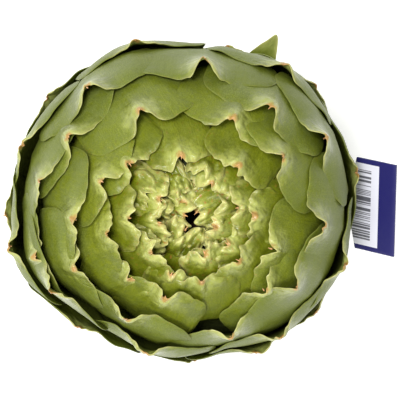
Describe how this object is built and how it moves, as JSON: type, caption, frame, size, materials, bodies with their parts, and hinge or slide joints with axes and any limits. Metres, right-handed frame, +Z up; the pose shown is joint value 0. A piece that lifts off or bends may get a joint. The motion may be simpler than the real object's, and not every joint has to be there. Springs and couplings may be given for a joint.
{
  "type": "globe artichoke",
  "caption": "Globe artichoke standing on its cut stem: a round head of overlapping notched bracts on a short ribbed stalk, with a plain plastic produce tag.",
  "frame": {"origin": "centre of the stem's cut face, on the surface that the artichoke stands on", "axes": "+Z up the stalk towards the crown; +X towards the tag; the head is slightly wider along X than along Y"},
  "size_m": [0.1357, 0.1154, 0.1075],
  "materials": {
    "bract_green": "waxy",
    "stem_green": "matte",
    "tag_plastic": "satin"
  },
  "bodies": {
    "root": {"head": "bract_green", "stem": "stem_green", "produce_tag": "tag_plastic"}
  },
  "joints": []
}
